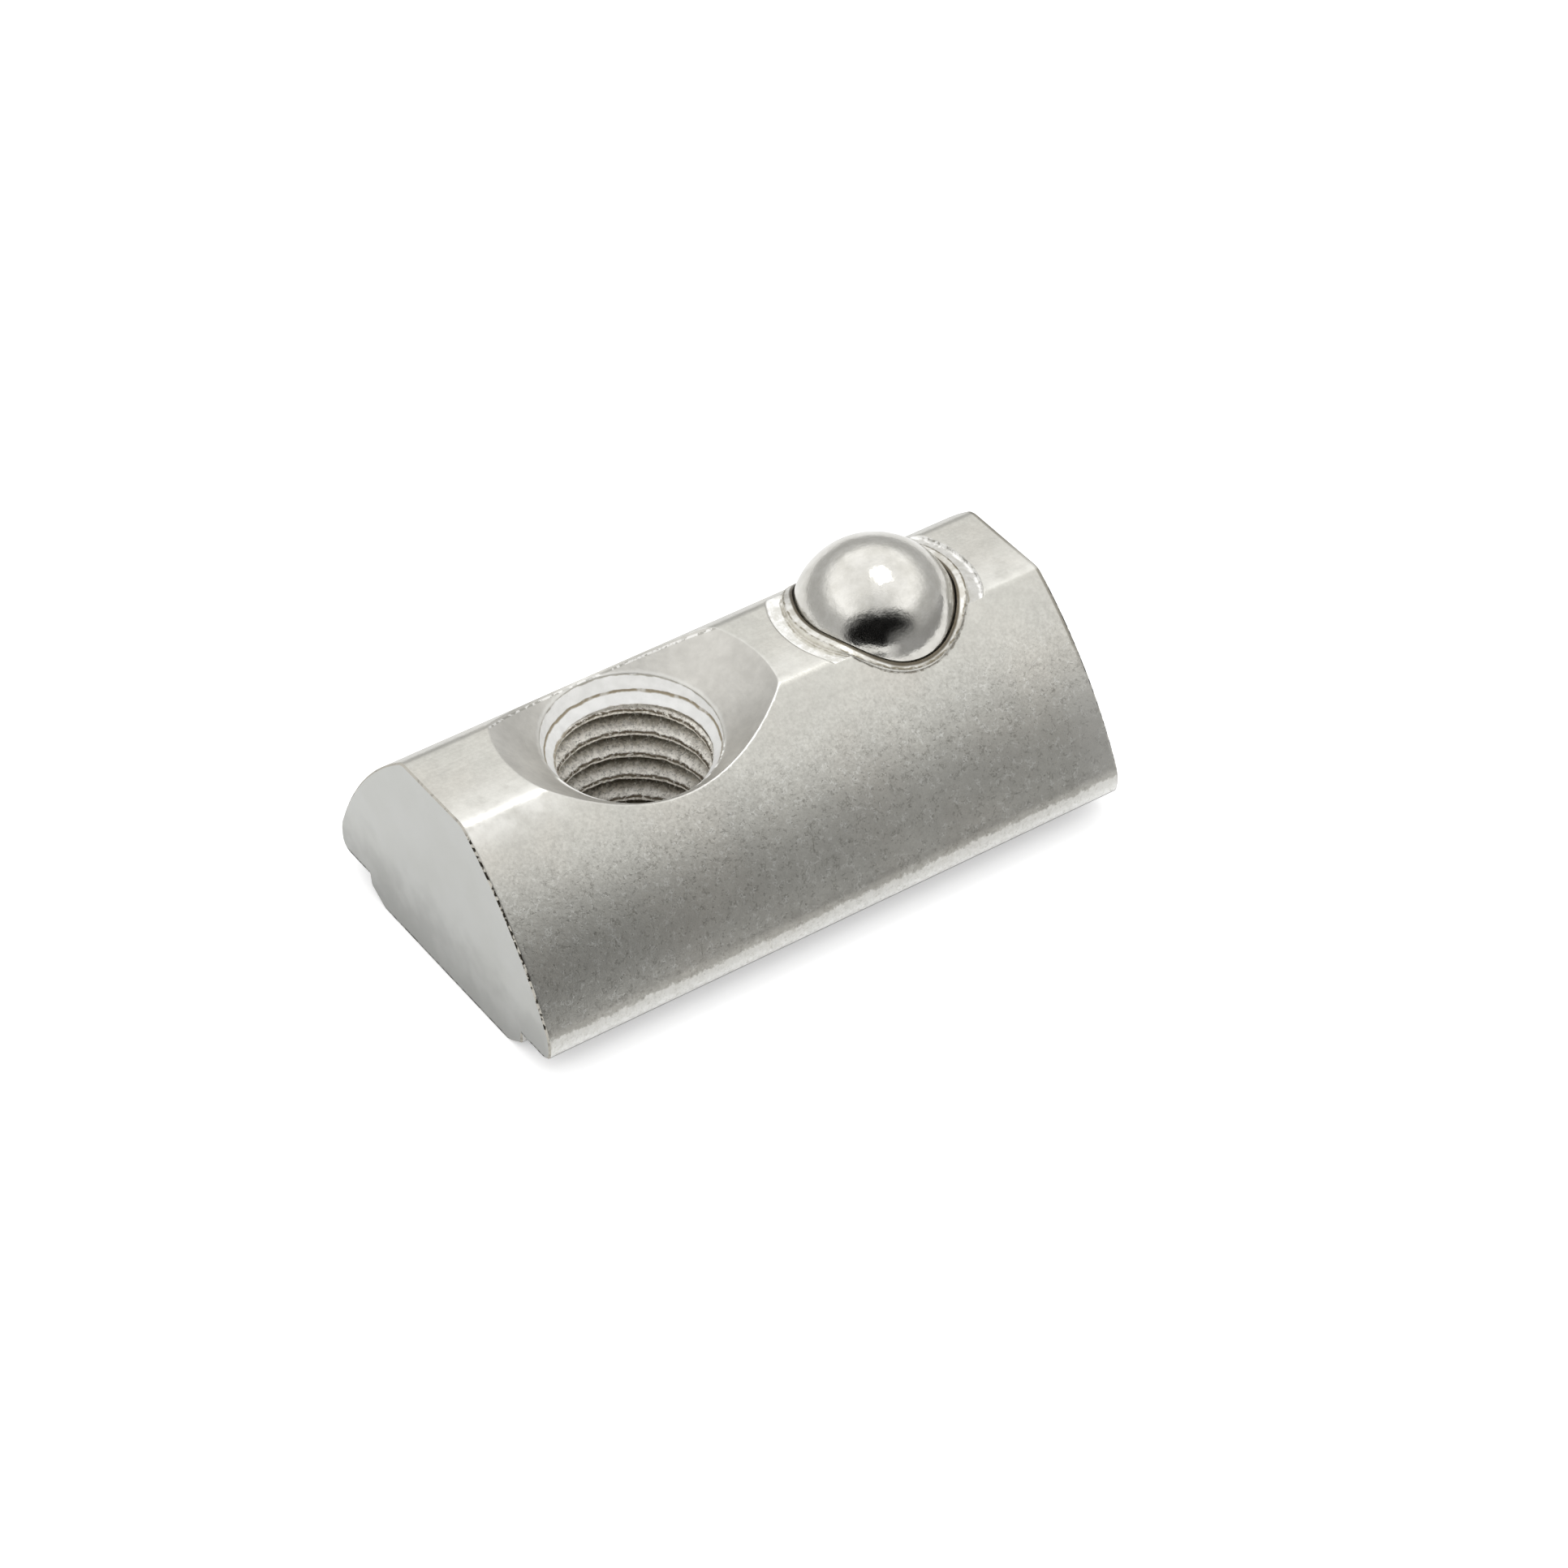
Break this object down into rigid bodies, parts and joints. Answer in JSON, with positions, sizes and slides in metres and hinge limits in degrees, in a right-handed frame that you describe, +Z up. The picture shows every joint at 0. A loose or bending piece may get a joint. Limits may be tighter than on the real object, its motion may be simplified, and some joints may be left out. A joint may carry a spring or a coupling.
{
  "type": "t slot nut",
  "caption": "Roll-in T-slot nut: a long steel bar of rounded T section with a threaded hole and a spring-loaded ball that holds it in a profile slot.",
  "frame": {"origin": "under the middle of the bar, on the neck face that it rests on", "axes": "+X along the bar from the threaded hole to the ball, +Y across the slot, +Z up from the neck face towards the ball"},
  "size_m": [0.019, 0.011, 0.0082],
  "materials": {
    "body_steel": "drawn bar with a thin bright zinc coat, faint grain along the length",
    "ball_steel": "polished bearing ball",
    "spring_steel": "plain drawn spring wire"
  },
  "bodies": {
    "nut": {"nut_body": "body_steel", "spring": "spring_steel"},
    "ball": {"ball": "ball_steel"}
  },
  "joints": [
    {"name": "ball_slide", "type": "slide", "parent": "nut", "child": "ball", "axis": [0, 0, 1], "range_m": [-0.0015, 0], "stiffness_N_per_m": 1000, "springref_m": 0.0008, "deforming": ["spring"]}
  ]
}
